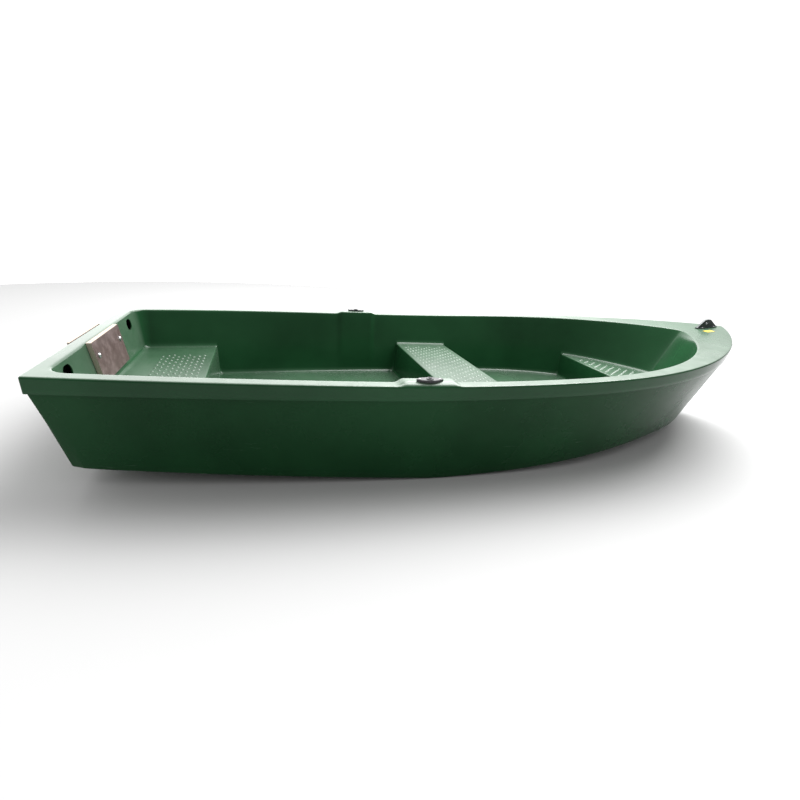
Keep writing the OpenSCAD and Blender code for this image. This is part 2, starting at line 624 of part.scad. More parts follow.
module mooring_eye_nuts() color(steel) for_eye_bolts()
  translate([0, 0, -liner_t - 9.5]) nut(5.4, eye_bolt_r + 0.2, 5);

module deck_label() color(yellow) at_eye()
  translate([label_x, label_y, label_z]) cube([60, 38, 0.4], center = true);

module stern_foam() foam_block([[stern_seat_s - 330, 400], [stern_seat_s - 25, 430]],
  drain_z + drain_pipe_r + 4, stern_seat_z - liner_t - 8);

module centre_foam() foam_block([[centre_seat_s + 18, 500], [centre_end_s - 18, 500]],
  bow_floor_z - 14, centre_seat_z - liner_t - 6);

module bow_foam() foam_block([[bow_seat_s + 30, 330], [bow_seat_s + 170, 240], [bow_seat_s + 260, 120]],
  bow_floor_z + 10, bow_seat_z - liner_t - 6);

module aft_floor_foam() foam_block([[stern_seat_s + 105, 380], [centre_seat_s - 50, 460]],
  chine_z(stern_seat_s + 105) + hull_t + 5, floor_z - liner_t - 2);

module fore_floor_foam() foam_block([[centre_end_s + 60, 420], [bow_seat_s - 360, 300], [bow_seat_s - 90, 200]],
  chine_nose_z + hull_t + 3, floor_at(centre_end_s) - liner_t - 2);

module drain_tube() color(black) on_drain(drain_seat_s + 46) difference() {
  cylinder(r = drain_pipe_r, h = drain_end_s - drain_seat_s - 45);
  translate([0, 0, -1]) cylinder(r = drain_pipe_r - 2.5, h = boat_l);
}

// Its flange lies on the raked transom, its barrel is level
module drain_socket() color(black) difference() {
  union() {
    intersection() {
      on_drain(drain_seat_s - 40) cylinder(r = drain_flange_r, h = 140);
      raked_board([[hull_face(60) - gap - drain_flange_t, 60], [hull_face(60) - gap, 60],
        [hull_face(180) - gap, 180], [hull_face(180) - gap - drain_flange_t, 180]], 100);
    }
    intersection() {
      on_drain(drain_seat_s) cylinder(r = drain_barrel_r, h = 40);
      raked_board([[-60, 60], [hull_face(60) - gap, 60], [hull_face(180) - gap, 180], [-60, 180]], 100);
    }
    on_drain(drain_seat_s) cylinder(r = drain_pipe_r, h = 45);
  }
  on_drain(drain_seat_s - 1) cylinder(r = socket_r, h = 50);
  drain_screw_holes(drain_screw_r + 0.2);
}

module drain_socket_screws() color(steel) for (side = [-1, 1])
  on_transom(side * drain_screw_y, drain_z, hull_face(drain_z)) translate([0, 0, gap + drain_flange_t + 0.2]) {
    cylinder(r1 = 3.8, r2 = 2.4, h = 2, $fn = small_fn);
    translate([0, 0, -15]) cylinder(r = drain_screw_r, h = 16, $fn = small_fn);
  }

module drain_plug() color(black) {
  on_drain(drain_seat_s - seal_t - 6) cylinder(r = drain_barrel_r, h = 6);
  on_drain(drain_seat_s - seal_t - 0.5) cylinder(r = plug_r, h = 22);
  at_station(drain_seat_s - seal_t - 11, 0, drain_z) cube([12, 32, 6], center = true);
}

module drain_plug_seal() color(black) on_drain(drain_seat_s - seal_t + 0.1) difference() {
  cylinder(r = drain_barrel_r - 0.5, h = seal_t - 0.2);
  translate([0, 0, -1]) cylinder(r = plug_r + 0.35, h = seal_t + 2);
}

outer_hull();
inner_liner();
transom_core();
inner_motor_pad();
outer_motor_pad();
motor_pad_bolts();
motor_pad_washers();
motor_pad_nuts();
rowlock_socket_port();
rowlock_socket_starboard();
rowlock_screws();
rowlock_backing_blocks();
mooring_eye();
mooring_eye_bolts();
mooring_eye_backing_plate();
mooring_eye_nuts();
deck_label();
stern_foam();
centre_foam();
bow_foam();
aft_floor_foam();
fore_floor_foam();
drain_tube();
drain_socket();
drain_socket_screws();
drain_plug();
drain_plug_seal();
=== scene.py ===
import json
import math
import random

import bmesh
import bpy
from mathutils import Matrix, Vector


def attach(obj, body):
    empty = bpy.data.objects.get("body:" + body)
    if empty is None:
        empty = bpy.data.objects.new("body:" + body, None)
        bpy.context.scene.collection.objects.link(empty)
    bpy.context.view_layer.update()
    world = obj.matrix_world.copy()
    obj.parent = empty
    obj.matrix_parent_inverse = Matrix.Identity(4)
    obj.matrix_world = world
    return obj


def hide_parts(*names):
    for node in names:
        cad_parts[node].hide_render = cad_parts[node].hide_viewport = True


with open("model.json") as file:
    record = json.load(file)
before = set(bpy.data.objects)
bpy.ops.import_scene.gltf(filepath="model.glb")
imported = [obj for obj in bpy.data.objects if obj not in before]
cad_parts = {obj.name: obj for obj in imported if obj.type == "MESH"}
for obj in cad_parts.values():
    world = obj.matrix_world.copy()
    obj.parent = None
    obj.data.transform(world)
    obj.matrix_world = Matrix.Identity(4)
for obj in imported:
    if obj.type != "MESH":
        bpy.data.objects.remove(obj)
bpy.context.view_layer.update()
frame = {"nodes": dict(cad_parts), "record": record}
nodes = frame["nodes"]
rng = random.Random(7)

# ---------------------------------------------------------------- shape of the boat
# Millimetres. Stations run forward from the transom, y to port and z up.
L, BEAM, STERN_HALF, WIDEST = 3600.0, 722.0, 573.0, 1742.0
MID_S = 1795.5  # the station at the frame's origin
GUNWALE, TRANSOM_W, BOW_DECK, LIP = 56.0, 52.0, 340.0, 57.0
INNER_END = L - BOW_DECK
OUTER_P, OUTER_Q = 2.8, 1.1  # powers of the outlines forward of the widest station
INNER_P, INNER_Q = 2.97, 1.26
SHEER_Z, STERN_DIP, DIP_S, BOW_RISE, RISE_S = 443, 8.5, 1418, 150, 1091
BOW_LIP, BOW_LIP_S = 25, 2900
TRANSOM_LEAN, SIDE_LEAN, BOW_LEAN = 0.06, 0.03, 0.12  # of the lip, inward per unit of its height
RAKE_DEG = 11.2
RAKE = math.tan(math.radians(RAKE_DEG))
STERN_SEAT_Z, STERN_SEAT_S = 236.0, 455.0
CENTRE_SEAT_Z, CENTRE_S, CENTRE_END = 262.0, 1568.0, 1915.0
BOW_SEAT_Z, BOW_SEAT_S = 260.0, 2760.0
FLOOR_Z, FLOOR_RISE, COVE = 83.0, 28.0, 30.0
CORNER_R, RIM_R, EDGE = 80.0, 11.0, 8.0
SEAT_EDGE, SEAT_COVE = 10, 19
ROWLOCK_S, BOSS_H, BOSS_FLAT, BOSS_RAMP = 1290.0, 12.0, 91, 38
SIDE_FLARE, FACE_TAN = 0.21, math.tan(math.radians(6))
NOSE_S = BOW_SEAT_S + 25
NOSE_FOOT = 0.7  # how far the bow seat's outline follows the inner outline forward of NOSE_S
HULL_NOSE, NOSE_RUN = 2750.0, 0.78  # where the bow starts and how far its chine runs forward
STEM_PULL, STEM_HALF = 26, 20
CHINE_STERN, CHINE_MID, CHINE_TIP, CHINE_LOW_S = 80, 72, 84, 1373
CHINE_SHARE, CHINE_PINCH, NOSE_SHARE = 0.88, 0.13, 0.75
STERN_CHINE_Z = 75
KEEL_S, KEEL_LIFT, KEEL_CURVE_S, KEEL_END_S = 110, 45, 2100, L - 300
LINER_T, HULL_T = 0.0045, 0.005  # metres
LINER_CREASE, HULL_CREASE = 38, 34  # degrees


def clamp(t, lo=0.0, hi=1.0):
    return max(lo, min(hi, t))


def smooth(t):
    t = clamp(t)
    return t * t * (3 - 2 * t)


def mix(a, b, t):
    return a + (b - a) * t


def outer_half(s):
    if s < WIDEST:
        return STERN_HALF + (BEAM - STERN_HALF) * (1 - ((WIDEST - s) / WIDEST) ** 2)
    return BEAM * max(0, 1 - ((s - WIDEST) / (L - WIDEST)) ** OUTER_P) ** (1 / OUTER_Q)


def inner_half(s):
    if s < WIDEST:
        return outer_half(s) - GUNWALE
    fore = (s - WIDEST) / (INNER_END - WIDEST)
    return (BEAM - GUNWALE) * max(0, 1 - fore ** INNER_P) ** (1 / INNER_Q)


def sheer(s):
    dip = STERN_DIP * max(0, (DIP_S - s) / DIP_S) ** 2
    return SHEER_Z - dip + BOW_RISE * max(0, (s - RISE_S) / (L - RISE_S)) ** 2.07


TOP = sheer(0)


def rake_x(z):
    return (TOP - z) * RAKE


def lip(s):
    return LIP + BOW_LIP * smooth((s - BOW_LIP_S) / (L - BOW_LIP_S))


def floor_at(s):
    return FLOOR_Z + FLOOR_RISE * max(0, (s - CENTRE_S) / (BOW_SEAT_S - CENTRE_S))


def boss_share(s):
    return 1 - smooth((abs(s - ROWLOCK_S) - BOSS_FLAT) / BOSS_RAMP)


def chine_z(s):
    if s < CHINE_LOW_S:
        return CHINE_STERN * (1 - s / CHINE_LOW_S)
    if s < HULL_NOSE:
        return CHINE_MID * smooth((s - CHINE_LOW_S) / (HULL_NOSE - CHINE_LOW_S))
    return mix(CHINE_MID, CHINE_TIP, smooth((s - HULL_NOSE) / (L - HULL_NOSE)))


def chine_share(s):
    return CHINE_SHARE - CHINE_PINCH * clamp((s - WIDEST) / (HULL_NOSE - WIDEST)) ** 2


def keel_z(s):
    if s < KEEL_S:
        return chine_z(s)
    return KEEL_LIFT * smooth((s - KEEL_CURVE_S) / (KEEL_END_S - KEEL_CURVE_S))


def V3(x, y, z):
    return Vector((x, y, z))


def unit(v):
    return v.normalized()


def fillet(a, corner, b, size, n=6):
    """Points of a round between the directions to a and b."""
    start = corner + unit(a - corner) * size
    end = corner + unit(b - corner) * size
    shares = [i / n for i in range(n + 1)]
    return [start * (1 - t) ** 2 + corner * 2 * t * (1 - t) + end * t * t for t in shares]


def spread(a, b, n):
    """n points strictly between a and b."""
    return [a.lerp(b, (i + 1) / (n + 1)) for i in range(n)]


# ---------------------------------------------------------------- mesh helpers
def to_frame(p):
    return ((p[0] - MID_S) / 1000, p[1] / 1000, p[2] / 1000)


def sharp_edges(me, degrees):
    """Smooth shading, with a crease wherever two faces meet at more than this angle."""
    bm = bmesh.new()
    bm.from_mesh(me)
    bmesh.ops.remove_doubles(bm, verts=bm.verts, dist=1e-6)
    bmesh.ops.recalc_face_normals(bm, faces=bm.faces)
    limit = math.radians(degrees)
    for f in bm.faces:
        f.smooth = True
    for e in bm.edges:
        e.smooth = not (len(e.link_faces) == 2 and e.calc_face_angle(0) > limit)
    bm.to_mesh(me)
    bm.free()


def new_object(name, verts, faces):
    me = bpy.data.meshes.new(name)
    me.from_pydata([to_frame(v) for v in verts], [], faces)
    me.update()
    return add_object(name, me)


def add_object(name, me):
    ob = bpy.data.objects.new(name, me)
    bpy.context.scene.collection.objects.link(ob)
    return ob


def bake_modifiers(ob):
    deps = bpy.context.evaluated_depsgraph_get()
    me = bpy.data.meshes.new_from_object(ob.evaluated_get(deps))
    ob.modifiers.clear()
    ob.data = me


def ring_skin(columns, rows, cols, inside, name):
    """Skin of a ring of columns, closed by a grid of points inside(row, col)."""
    levels = len(columns[0])
    n = len(columns)
    verts = [p for c in columns for p in c]
    index = {}

    def at(j, m):
        if m == 0:
            return j * levels + levels - 1
        if m == cols:
            return (2 * rows + cols - j) * levels + levels - 1
        if j == 0:
            return ((2 * rows + 2 * cols - m) % n) * levels + levels - 1
        if j == rows:
            return (rows + m) * levels + levels - 1
        if (j, m) not in index:
            index[(j, m)] = len(verts)
            verts.append(inside(j, m))
        return index[(j, m)]

    faces = []
    for c in range(n):
        d = (c + 1) % n
        for k in range(levels - 1):
            faces.append((c * levels + k, c * levels + k + 1, d * levels + k + 1, d * levels + k))
    for j in range(rows):
        for m in range(cols):
            faces.append((at(j, m), at(j, m + 1), at(j + 1, m + 1), at(j + 1, m)))
    return new_object(name, verts, faces)


def mirrored(column):
    return [V3(p.x, -p.y, p.z) for p in column]


def make_ring(port, bow, stern):
    return port + bow[1:-1] + [mirrored(c) for c in reversed(port)] + list(reversed(stern[1:-1]))


# ---------------------------------------------------------------- outlines, with their inward normals
def curve_normal(half, s, y, end):
    """Inward normal of an outline at a point of its port or starboard side."""
    if s > end - 1:
        return V3(-1, 0, 0)
    slope = (half(min(s + 1, end)) - half(s - 1)) / 2
    return unit(V3(slope, -1 if y >= 0 else 1, 0))


def nose_outline(s0, end, p, q, beam, n, passes):
    """Points round the nose from s0 on the port side to s0 on the other, denser at the tip.

    The tip is rounded by a number of smoothing passes.
    """
    start = math.acos(clamp(((s0 - WIDEST) / (end - WIDEST)) ** (p / 2)))
    out = []
    for i in range(n + 1):
        a = start * (1 - i / n)
        u = math.cos(a) ** (2 / p)
        out.append([WIDEST + (end - WIDEST) * u, beam * (math.sin(a) ** 2) ** (1 / q)])
    full = [list(v) for v in out] + [[s, -y] for s, y in reversed(out[:-1])]
    for _ in range(passes):
        old = [list(v) for v in full]
        for i in range(len(full)):
            if 2 < i < len(full) - 3 and abs(i - n) < 0.3 * n:
                full[i] = [(old[i - 1][k] + 2 * old[i][k] + old[i + 1][k]) / 4 for k in (0, 1)]
    return full


def outline_normals(points):
    out = []
    for i, p in enumerate(points):
        a, b = points[max(0, i - 1)], points[min(len(points) - 1, i + 1)]
        t = V3(b[0] - a[0], b[1] - a[1], 0)
        out.append(unit(V3(t.y, -t.x, 0)))
    return out


NOSE_N = 40
nose_out = nose_outline(NOSE_S, L, OUTER_P, OUTER_Q, BEAM, NOSE_N, 14)
nose_in = nose_outline(NOSE_S, INNER_END, INNER_P, INNER_Q, BEAM - GUNWALE, NOSE_N, 2)
nose_out_n, nose_in_n = outline_normals(nose_out), outline_normals(nose_in)


# ---------------------------------------------------------------- inner liner
def liner_column(outer, out_n, inner, foot, inward, lean, boss):
    """Section of the liner: up the lip, over the gunwale and down the side to its foot."""
    rim = V3(outer[0], outer[1], sheer(outer[0]))
    wall = V3(inner[0], inner[1], sheer(inner[0]))
    across = unit(V3(inner[0] - outer[0], inner[1] - outer[1], 0))
    rise = V3(0, 0, boss * BOSS_H)
    high = lip(outer[0])
    low = rim + lean * high - V3(0, 0, high)
    crest = wall + across * 10 * boss + rise
    shoulder = rim + unit(across + out_n) * (EDGE + 3)
    crown = 0.6 * rise
    pts = [low + out_n * 4.2 + V3(0, 0, 3), low + out_n * 3.2, low + out_n * 0.8, low + V3(0, 0, 1.5)]
    pts += spread(low, rim, 3)
    pts += fillet(low, rim, shoulder + crown, EDGE)
    top_in = crest - across * (EDGE + 5)
    level = top_in - rise
    for t in (0, 0.08, 0.18, 0.3, 0.44, 0.6, 0.8, 1):
        pts.append(mix(shoulder, level, t) + mix(crown, rise, smooth(t / 0.3)))
    pts += fillet(top_in, crest, foot, EDGE + 1)
    pts += [crest.lerp(foot, t) for t in (0.12, 0.25, 0.4, 0.55, 0.7, 0.82)]
    return pts + fillet(wall, foot, foot + inward * 100, 0.85 * COVE, 7)


corner_x = TRANSOM_W + CORNER_R
corner_y = inner_half(corner_x) - CORNER_R


def rim_path(u):
    """Outer edge round the rear corner: u < 0 runs up the side, u > 0 along the transom.

    Gives the point, its inward normal and the share of the turn from side to transom.
    """
    if u < -RIM_R:
        return (-u, outer_half(-u)), V3(0, -1, 0), 0.0
    if u > RIM_R:
        return (0.0, STERN_HALF - u), V3(1, 0, 0), 1.0
    t = (u + RIM_R) / (2 * RIM_R)
    a = t * math.pi / 2
    point = (RIM_R - RIM_R * math.sin(a), outer_half(RIM_R) - RIM_R + RIM_R * math.cos(a))
    return point, V3(math.sin(a), -math.cos(a), 0), t


def lean_of(t):
    """Lean of the lip, from the side (0) to the transom (1)."""
    return V3(TRANSOM_LEAN * t, -SIDE_LEAN * (1 - t), 0)


def corner_column(a):
    """Column of the rear corner, for a from 90 (side) to 180 degrees (transom)."""
    w = (a - 135) / 45
    size = STERN_HALF - corner_y if w > 0 else corner_x
    outer, n, t = rim_path(math.copysign(abs(w) ** 1.7, w) * size)
    d = V3(math.cos(math.radians(a)), math.sin(math.radians(a)), 0)
    inner = (corner_x + CORNER_R * d.x, corner_y + CORNER_R * d.y)
    drop = sheer(inner[0]) - STERN_SEAT_Z
    foot = V3(inner[0], inner[1], STERN_SEAT_Z) - d * drop * SIDE_FLARE
    return liner_column(outer, n, inner, foot, -d, lean_of(t), 0)


def transom_column(y):
    ahead = V3(1, 0, 0)
    foot = V3(TRANSOM_W + rake_x(STERN_SEAT_Z), y, STERN_SEAT_Z)
    return liner_column((0, y), ahead, (TRANSOM_W, y), foot, ahead, lean_of(1), 0)


def side_column(s, z):
    foot = V3(s, inner_half(s) - SIDE_FLARE * (sheer(s) - z), z)
    return liner_column((s, outer_half(s)), curve_normal(outer_half, s, 1, L), (s, inner_half(s)),
                        foot, V3(0, -1, 0), lean_of(0), boss_share(s))


def seat_face(s, high, low, fwd):
    """Rows over a seat's face, from its top down to the floor, in order of station."""
    run = (high - low - SEAT_EDGE - SEAT_COVE) * FACE_TAN
    a, b = V3(-60, 0, high), V3(0, 0, high)
    c, d = V3(run, 0, low), V3(run + 60, 0, low)
    pts = fillet(a, b, c, SEAT_EDGE) + [b.lerp(c, t) for t in (0.3, 0.5, 0.7)] + fillet(b, c, d, SEAT_COVE)
    pts = [(s + fwd * p.x, p.z) for p in pts]
    return pts if fwd > 0 else pts[::-1]


def face_run(high, low):
    """Length that a seat's face and its cove take up along the floor."""
    return (high - low - SEAT_EDGE - SEAT_COVE) * FACE_TAN + 20


def stations(a, b, step):
    n = max(1, round((b - a) / step))
    return [mix(a, b, i / n) for i in range(n + 1)]


run_1 = face_run(STERN_SEAT_Z, FLOOR_Z)
run_2 = face_run(CENTRE_SEAT_Z, FLOOR_Z)
run_3 = face_run(BOW_SEAT_Z, FLOOR_Z + FLOOR_RISE)
low_2 = floor_at(CENTRE_END)
profile = [(s, STERN_SEAT_Z) for s in stations(corner_x, STERN_SEAT_S - 12, 30)[1:]]
profile += seat_face(STERN_SEAT_S, STERN_SEAT_Z, FLOOR_Z, 1)
profile += [(s, floor_at(s)) for s in stations(STERN_SEAT_S + run_1 + 8, ROWLOCK_S - 140, 34)]
profile += [(s, floor_at(s)) for s in stations(ROWLOCK_S - 130, ROWLOCK_S + 130, 6.5)]
profile += [(s, floor_at(s)) for s in stations(ROWLOCK_S + 145, CENTRE_S - run_2 - 8, 30)]
profile += seat_face(CENTRE_S, CENTRE_SEAT_Z, FLOOR_Z, -1)
profile += [(s, CENTRE_SEAT_Z) for s in stations(CENTRE_S + 14, CENTRE_END - 14, 32)]
profile += seat_face(CENTRE_END, CENTRE_SEAT_Z, low_2, 1)
profile += [(s, floor_at(s)) for s in stations(CENTRE_END + run_2 + 6, BOW_SEAT_S - run_3 - 8, 34)]
profile += seat_face(BOW_SEAT_S, BOW_SEAT_Z, FLOOR_Z + FLOOR_RISE, -1)

nose_depth = sheer(NOSE_S) - BOW_SEAT_Z
foot_share_y = 1 - SIDE_FLARE * nose_depth / inner_half(NOSE_S)


def nose_column(i):
    (so, yo), (si, yi) = nose_out[i], nose_in[i]
    foot = V3(NOSE_S + NOSE_FOOT * (si - NOSE_S), foot_share_y * yi, BOW_SEAT_Z)
    inward = unit(V3(NOSE_S - 20, 0, BOW_SEAT_Z) - foot)
    inward = unit(nose_in_n[i] + inward * 0.5)
    t = smooth(i / 10) if i < NOSE_N else smooth((2 * NOSE_N - i) / 10)
    return liner_column((so, yo), nose_out_n[i], (si, yi), foot, inward,
                        nose_out_n[i] * mix(SIDE_LEAN, BOW_LEAN, t), 0)


CAP = 12  # columns on each side of the tip that close the liner's grid
port = [corner_column(135 - 45 * i / 14) for i in range(14)]
port += [side_column(corner_x, STERN_SEAT_Z)]
port += [side_column(s, z) for s, z in profile]
port += [nose_column(i) for i in range(1, NOSE_N - CAP + 1)]
bow = [nose_column(i) for i in range(NOSE_N - CAP, NOSE_N + CAP + 1)]
cols = len(bow) - 1
half_corner = [corner_column(135 + 45 * i / 7) for i in range(8)]
inner_ys = [corner_y * (1 - i / 5) for i in range(1, 10)]
stern = half_corner + [transom_column(y) for y in inner_ys] + [mirrored(c) for c in reversed(half_corner)]
assert len(stern) == cols + 1, (len(stern), cols)
rows = len(port) - 1
foot_shares = [c[-1].y / port[0][-1].y for c in stern]


def liner_inside(j, m):
    """Floor and seats: spaced like the stern's columns, evenly towards the bow."""
    f = port[j][-1]
    k = smooth((j - 0.72 * rows) / (0.28 * rows))
    even = 1 - 2 * m / cols
    return V3(f.x, f.y * mix(foot_shares[m], even, k), f.z)


liner = ring_skin(make_ring(port, bow, stern), rows, cols, liner_inside, "liner_skin")

# ---------------------------------------------------------------- outer hull
INSET = 6.5  # from the liner's edge to the hull under its lip


def hull_column(outer, n, chine, inward, rake_in, ridge):
    """Section of the hull from under the lip down to the chine; ridge pulls it in at the stem."""
    rim = V3(outer[0], outer[1], sheer(outer[0]))
    drop = lip(outer[0]) - 6
    top = rim + n * INSET - V3(0, 0, INSET)
    under = rim + n * (INSET + 2 + rake_in * drop) - V3(0, 0, drop)
    start_dir = unit(under - chine)
    pts = [top, top.lerp(under, 0.5), under] + spread(under, chine + start_dir * 14, 11)
    pts += fillet(under, chine, chine + inward * 100, 13)
    for i in range(3, len(pts)):
        t = smooth((i - 3) / 11)
        pts[i] = pts[i] - n * ridge * t
    return pts


def hull_side(s):
    y = outer_half(s)
    c = V3(s, y * chine_share(s), chine_z(s))
    return hull_column((s, y), curve_normal(outer_half, s, 1, L), c, V3(0, -1, 0), 0, 0)


def hull_nose(i):
    s, y = nose_out[i]
    x = HULL_NOSE + NOSE_RUN * (s - HULL_NOSE)
    c = V3(x, y * NOSE_SHARE, chine_z(x))
    n = nose_out_n[i]
    ridge = STEM_PULL * math.exp(-((y / STEM_HALF) ** 4))
    return hull_column((s, y), n, c, n, 0, ridge)


def hull_stern(share):
    ahead = V3(1, 0, 0)
    c = V3(rake_x(STERN_CHINE_Z), STERN_HALF * share * CHINE_SHARE, STERN_CHINE_Z)
    return hull_column((0, STERN_HALF * share), ahead, c, ahead, RAKE, 0)


def keel_root(half):
    return min(36, 0.42 * half)


def bottom_share(m, half):
    """Across the bottom: from the chine to the keel's root, its foot and the middle."""
    root, foot = keel_root(half), min(20, 0.25 * half)
    marks = [share * half for share in (1, 0.8, 0.6, 0.42, 0.25)]
    marks += [root + 6, root, root - 3, foot + 2, foot, foot * 0.5, 0]
    marks = sorted(set(round(v, 4) for v in marks), reverse=True)
    while len(marks) < 12:
        marks.insert(1, (marks[0] + marks[1]) / 2)
    return (marks + [-v for v in marks[-2::-1]])[m]


HULL_CAP = 11  # as CAP, for the hull's grid
hull_cap = [hull_nose(i) for i in range(NOSE_N - HULL_CAP, NOSE_N + HULL_CAP + 1)]
hull_cols = len(hull_cap) - 1
hull_port = []
for i in range(8):
    a = i / 8
    outer, n, t = rim_path(-(a ** 1.5) * 70)
    w = unit(n * 0.5 + (V3(0, -1, 0) if i else V3(1, -1, 0)) * 0.5)
    foot_s = mix(rake_x(STERN_CHINE_Z), KEEL_S, a)
    foot_y = outer_half(foot_s) * mix(STERN_HALF / outer_half(foot_s), 1, a) * CHINE_SHARE
    c = V3(foot_s, foot_y, mix(STERN_CHINE_Z, chine_z(KEEL_S), a))
    hull_port.append(hull_column(outer, n, c, w, RAKE * t, 0))
hull_port += [hull_side(s) for s in stations(KEEL_S, NOSE_S, 42)]
hull_port += [hull_nose(i) for i in range(1, NOSE_N - HULL_CAP + 1)]
stern_shares = [1 - i / (hull_cols / 2) for i in range(hull_cols + 1)]
hull_stern_cols = [hull_stern(share) for share in stern_shares]
hull_stern_cols[0] = hull_port[0]
hull_stern_cols[-1] = mirrored(hull_port[0])
hull_rows = len(hull_port) - 1


def hull_inside(j, m):
    f = hull_port[j][-1]
    y = bottom_share(m, f.y)
    z = max(0, f.z - 1)
    if abs(y) < keel_root(f.y) - 1:
        z = min(z, keel_z(f.x))
    return V3(f.x, y, z)


hull_ring = make_ring(hull_port, hull_cap, hull_stern_cols)
hull = ring_skin(hull_ring, hull_rows, hull_cols, hull_inside, "hull_skin")

for ob, thickness in ((liner, LINER_T), (hull, HULL_T)):
    bm = bmesh.new()
    bm.from_mesh(ob.data)
    bmesh.ops.recalc_face_normals(bm, faces=bm.faces)
    bm.to_mesh(ob.data)
    bm.free()
    # The skins are open along their rims. The hull's bottom must face down and the liner's floor up.
    flip = False
    for p in ob.data.polygons:
        if ob is hull and p.center.z < 0.002 and p.normal.z > 0.5:
            flip = True
        if ob is liner and abs(p.center.y) < 0.2 and p.center.z < 0.1 and p.normal.z < -0.5:
            flip = True
    if flip:
        ob.data.flip_normals()
    so = ob.modifiers.new("thickness", "SOLIDIFY")
    so.thickness = thickness
    so.offset = -1
    bake_modifiers(ob)


def cutter(parts):
    """Round or oblong plugs, in metres: matrix, half length, half width and half depth."""
    bm = bmesh.new()
    n = 40
    for matrix, half_w, half_h, depth in parts:
        slide = half_w - half_h
        loop = []
        for i in range(n):
            a = 2 * math.pi * i / n
            shift = slide if math.sin(a) > 1e-9 else -slide
            loop.append((math.cos(a) * half_h, math.sin(a) * half_h + shift))
        low, high = [[bm.verts.new(matrix @ Vector((x, y, z))) for x, y in loop] for z in (-depth, depth)]
        bm.faces.new(low[::-1])
        bm.faces.new(high)
        for i in range(n):
            bm.faces.new((low[i], low[(i + 1) % n], high[(i + 1) % n], high[i]))
    me = bpy.data.meshes.new("cutter")
    bm.to_mesh(me)
    bm.free()
    return add_object("cutter", me)


def cut(ob, parts):
    tool = cutter(parts)
    mod = ob.modifiers.new("holes", "BOOLEAN")
    mod.object = tool
    mod.operation = "DIFFERENCE"
    mod.solver = "EXACT"
    bake_modifiers(ob)
    bpy.data.objects.remove(tool)


def frame_matrix(s, y, z, rot):
    return Matrix.Translation(Vector(to_frame((s, y, z)))) @ rot


upright = Matrix.Identity(4)
raked = Matrix.Rotation(math.radians(-90 - RAKE_DEG), 4, "Y")
level = Matrix.Rotation(math.radians(90), 4, "Y")
HAND_Y, HAND_Z, DRAIN_Z = 385, TOP - 48, 116
ROWLOCK_Y = outer_half(ROWLOCK_S) - GUNWALE / 2
HAND_HOLE, ROWLOCK_HOLE = (0.036, 0.027, 0.02), (0.0135, 0.0135, 0.04)
DRAIN_HOLE, SOCKET_HOLE = (0.0155, 0.0155, 0.02), (0.016, 0.016, 0.03)
holes = []
for side in (-1, 1):
    holes.append((frame_matrix(rake_x(HAND_Z) + TRANSOM_W, side * HAND_Y, HAND_Z, raked), *HAND_HOLE))
    holes.append((frame_matrix(ROWLOCK_S, side * ROWLOCK_Y, sheer(ROWLOCK_S), upright), *ROWLOCK_HOLE))
holes.append((frame_matrix(STERN_SEAT_S + 12, 0, DRAIN_Z, level), *DRAIN_HOLE))
cut(liner, holes)
cut(hull, [(frame_matrix(64, 0, DRAIN_Z, level), *SOCKET_HOLE)])
sharp_edges(liner.data, LINER_CREASE)
sharp_edges(hull.data, HULL_CREASE)


# ---------------------------------------------------------------- materials
def material(name, color, rough, metal=0.0, **sockets):
    m = bpy.data.materials.new(name)
    m.use_nodes = True
    b = m.node_tree.nodes["Principled BSDF"]
    b.inputs["Base Color"].default_value = (*color, 1)
    b.inputs["Roughness"].default_value = rough
    b.inputs["Metallic"].default_value = metal
    for k, v in sockets.items():
        b.inputs[k.replace("_", " ")].default_value = v
    return m


